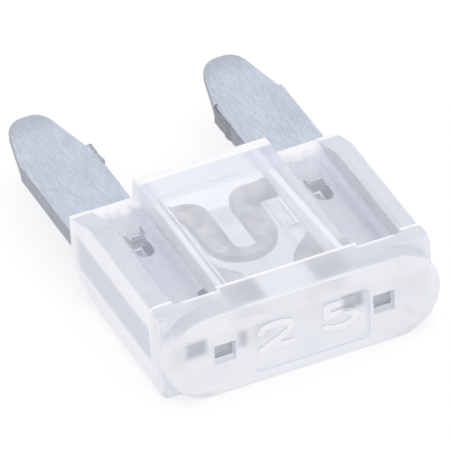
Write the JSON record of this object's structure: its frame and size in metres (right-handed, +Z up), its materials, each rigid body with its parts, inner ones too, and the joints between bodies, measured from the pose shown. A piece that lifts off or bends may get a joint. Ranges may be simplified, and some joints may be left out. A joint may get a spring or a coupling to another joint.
{
  "type": "automotive blade fuse",
  "caption": "Small plug-in fuse with a clear moulded housing, flat metal blades and a thin looped link that melts on overload.",
  "frame": {"origin": "under the middle of the fuse, on the surface that it lies on", "axes": "+Y towards the blades' tips, +X across the blades, +Z up through the broad faces"},
  "size_m": [0.011, 0.0164, 0.0037],
  "materials": {
    "clear_plastic": "clear moulded polycarbonate with a faint lavender tint, softly hazed",
    "zinc_alloy": "rolled zinc strip with fine lengthwise lines, darker where it was sheared"
  },
  "bodies": {
    "root": {"housing": "clear_plastic", "fuse_element": "zinc_alloy"}
  },
  "joints": []
}
